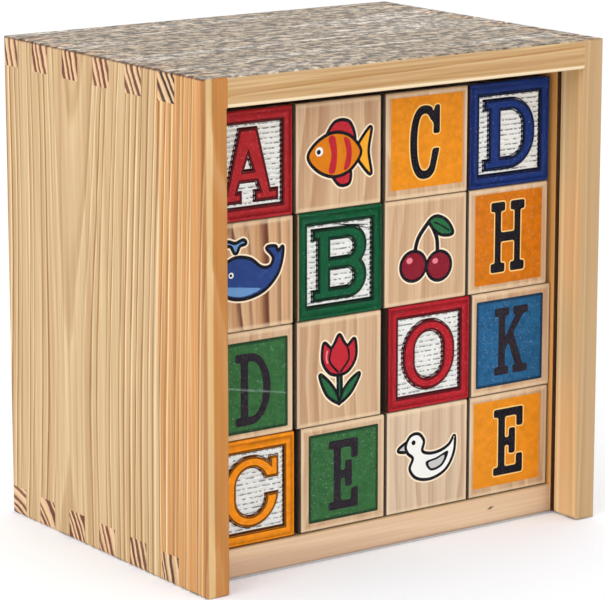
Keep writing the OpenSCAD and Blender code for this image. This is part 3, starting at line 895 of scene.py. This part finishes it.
pictures = {
    "front_block_row1_col2": ("fish", fish, fishTop, blockLook, 1.0),
    "front_block_row2_col1": ("whale", whale, whaleTop, stripedLook, 0.95),
    "front_block_row2_col3": ("cherries", cherries, cherriesTop, blockLook, 0.95),
    "front_block_row3_col2": ("tulip", tulip, tulipTop, blockLook, 0.95),
    "front_block_row4_col3": ("duck", duck, duckTop, greyLook, 0.92),
}
for node, (name, shapes, tops, look, scale) in pictures.items():
    layers = []
    half = pictureLook["outline"] / 2
    for number, (ink, outline) in enumerate(shapes):
        outline = [point * scale for point in outline]
        edge = grown(outline, half + pictureLook["paleEdge"])
        layers.append(flatPiece(name, [edge], node, 0.004 + 0.003 * number, pictureInks["round"]))
        level = 0.02 + 0.012 * number
        layers.append(flatPiece(name, [grown(outline, half)], node, level, inks["black"]))
        if ink != "black":
            inner = grown(outline, pictureLook["fill"] - half)
            layers.append(flatPiece(name, [inner], node, level + 0.006, pictureInks[ink]))
    for number, (ink, outline) in enumerate(tops):
        outline = [point * scale for point in outline]
        level = pictureLook["topLevel"] + 0.008 * number
        layers.append(flatPiece(name, [outline], node, level, pictureInks[ink]))
    joined("picture_" + name, layers)
    dress(nodes[node], woodFinish(node + "_wood", blockWood(node, look)))
print("pictures made")


sheetLook = {
    "corner": 1.0, "bevel": 0.15, "haze": 0.001, "gloss": 0.1, "edgeHaze": 0.35, "rough": 0.06,
    "colour": tint(210, 222, 226), "edge": tint(120, 132, 134), "speck": 0.85, "scuff": 0.14,
}


def sheetFinish(name, haze, colour, specks):
    finish = Finish(name)
    x, y, z = finish.place()
    # painted sheen: the sheet grows paler and more opaque towards grazing angles, standing in for its
    # reflection
    facing = finish.node("LayerWeight", {}, {"Blend": 0.35}, "Facing")
    alpha = haze + facing * facing * facing * sheetLook["gloss"]
    if specks:
        # painted glints: small pale dots scattered over the sheet's face
        cells = finish.node("TexVoronoi", {}, {"Vector": finish.point(x, y * 0, z), "Scale": 0.09})
        pick = finish.node("TexVoronoi", {}, {"Vector": finish.point(x, y * 0, z), "Scale": 0.09}, "Color")
        chosen = finish.node("SeparateColor", {}, {0: pick}).rise(0.72, 0.74)
        alpha = alpha + (1 - cells.rise(0.018, 0.032)) * chosen * sheetLook["speck"]
        scuff = (1 - (z - 56.7 + (x + 56.3) * 0.19).size().rise(0.1, 0.28)) * (1 - x.rise(-40, -31))
        broken = finish.noise(finish.point(x * 0.35, y * 0, z), detail=2.0).rise(0.3, 0.6, 0.4, 1.0)
        alpha = alpha + scuff * broken * sheetLook["scuff"]
    shader = finish.node("BsdfPrincipled", {}, {
        "Base Color": colour, "Roughness": sheetLook["rough"], "Alpha": alpha.least(1.0), "IOR": 1.49})
    finish.material.use_transparent_shadow = True
    return finish.finishWith(shader)


def makeSheet():
    low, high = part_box("sliding_cover")
    bpy.ops.object.select_all(action="DESELECT")
    bpy.ops.mesh.primitive_cube_add(size=1)
    sheet = bpy.context.object
    sheet.name = "clear_sheet"
    sheet.scale = high - low
    sheet.location = (low + high) / 2
    bpy.ops.object.transform_apply(location=True, rotation=True, scale=True)
    for edge in sheet.data.edges:  # the four corners, which run from front to back
        ends = [sheet.data.vertices[number].co for number in edge.vertices]
        edge.select = abs(ends[0].y - ends[1].y) > mm
    for face in sheet.data.polygons:
        face.select = False
    bpy.ops.object.mode_set(mode="EDIT")
    bpy.ops.mesh.select_mode(type="EDGE")
    bpy.ops.mesh.bevel(offset=sheetLook["corner"] * mm, segments=6, affect="EDGES")
    bpy.ops.object.mode_set(mode="OBJECT")
    bevel = sheet.modifiers.new("polish", "BEVEL")
    bevel.width = sheetLook["bevel"] * mm
    bevel.segments = 2
    bevel.limit_method = "ANGLE"
    bevel.angle_limit = math.radians(60)
    applyAll(sheet)
    bpy.ops.object.shade_smooth_by_angle(angle=math.radians(35))
    faceFinish = sheetFinish("clear_sheet_face", sheetLook["haze"], sheetLook["colour"], True)
    edgeFinish = sheetFinish("clear_sheet_edge", sheetLook["edgeHaze"], sheetLook["edge"], False)
    sheet.data.materials.append(faceFinish)
    sheet.data.materials.append(edgeFinish)
    for face in sheet.data.polygons:
        face.material_index = 0 if abs(face.normal.y) > 0.99 else 1
    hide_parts("sliding_cover")
    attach(sheet, "cover")


makeSheet()
print("cover made")


stageLook = {
    "floor": tint(251, 251, 250), "cloudTint": tint(246, 245, 243), "nearGlow": (0.03, 0.06, 0.1, 1.0),
    "glowFrom": 90, "glowTo": 220, "world": tint(252, 253, 255), "worldStrength": 1.06,
}


def makeStage():
    bpy.ops.object.select_all(action="DESELECT")
    bpy.ops.mesh.primitive_plane_add(size=12, location=(0, 0, 0))
    floor = bpy.context.object
    floor.name = "floor"
    finish = Finish("floor_paint")
    x, y, z = finish.place()
    cloud = finish.noise(finish.point(x, y, z), scale=0.004, detail=2.0)
    colour = finish.blend(cloud * 0.05, stageLook["floor"], stageLook["cloudTint"])
    # painted light: near the crate the floor glows faintly blue, offsetting the warm light bounced from the
    # wood
    away = (x * x + y * y).math("SQRT").rise(stageLook["glowFrom"], stageLook["glowTo"])
    glow = finish.blend(away, stageLook["nearGlow"], (0, 0, 0, 1))
    shader = finish.node("BsdfPrincipled", {}, {
        "Base Color": colour, "Roughness": 0.9, "Emission Color": glow, "Emission Strength": 1.0})
    floor.data.materials.append(finish.finishWith(shader))
    world = bpy.data.worlds.new("studio")
    world.use_nodes = True
    background = world.node_tree.nodes["Background"]
    background.inputs["Color"].default_value = stageLook["world"]
    background.inputs["Strength"].default_value = stageLook["worldStrength"]
    bpy.context.scene.world = world


lightLooks = {
    "key": {"place": (-1.0, -0.35, 0.85), "size": 0.6, "power": 3.0, "colour": (1.0, 0.98, 0.95)},
    "front": {"place": (0.25, -1.2, 0.6), "size": 0.5, "power": 1.2, "colour": (1.0, 1.0, 1.0)},
}
lightTarget = (0, 0, 0.07)


def areaLight(name, look):
    light = bpy.data.lights.new(name, "AREA")
    light.shape = "DISK"
    light.size = look["size"]
    light.energy = look["power"]
    light.color = look["colour"]
    lamp = bpy.data.objects.new(name, light)
    bpy.context.scene.collection.objects.link(lamp)
    lamp.location = look["place"]
    lamp.rotation_euler = (Vector(lightTarget) - Vector(look["place"])).to_track_quat("-Z", "Y").to_euler()


cameraLook = {"place": (-0.53383, -0.75288, 0.27348), "azimuth": -35.335, "elevation": 12.582, "roll": -0.017,
              "lens": 185.59}


def makeCamera():
    data = bpy.data.cameras.new("camera")
    data.lens = cameraLook["lens"]
    data.sensor_width = 36
    data.clip_start = 0.05
    camera = bpy.data.objects.new("camera", data)
    bpy.context.scene.collection.objects.link(camera)
    azimuth = math.radians(cameraLook["azimuth"])
    elevation = math.radians(cameraLook["elevation"])
    ahead = Vector((-math.sin(azimuth) * math.cos(elevation), math.cos(azimuth) * math.cos(elevation),
                    -math.sin(elevation)))
    camera.location = cameraLook["place"]
    turn = ahead.to_track_quat("-Z", "Y").to_matrix().to_4x4()
    camera.rotation_euler = turn.to_euler()
    camera.rotation_euler.rotate_axis("Z", math.radians(cameraLook["roll"]))
    bpy.context.scene.camera = camera


makeStage()
for name, look in lightLooks.items():
    areaLight(name, look)
makeCamera()
bpy.context.scene.view_settings.view_transform = "Standard"
print("stage set")
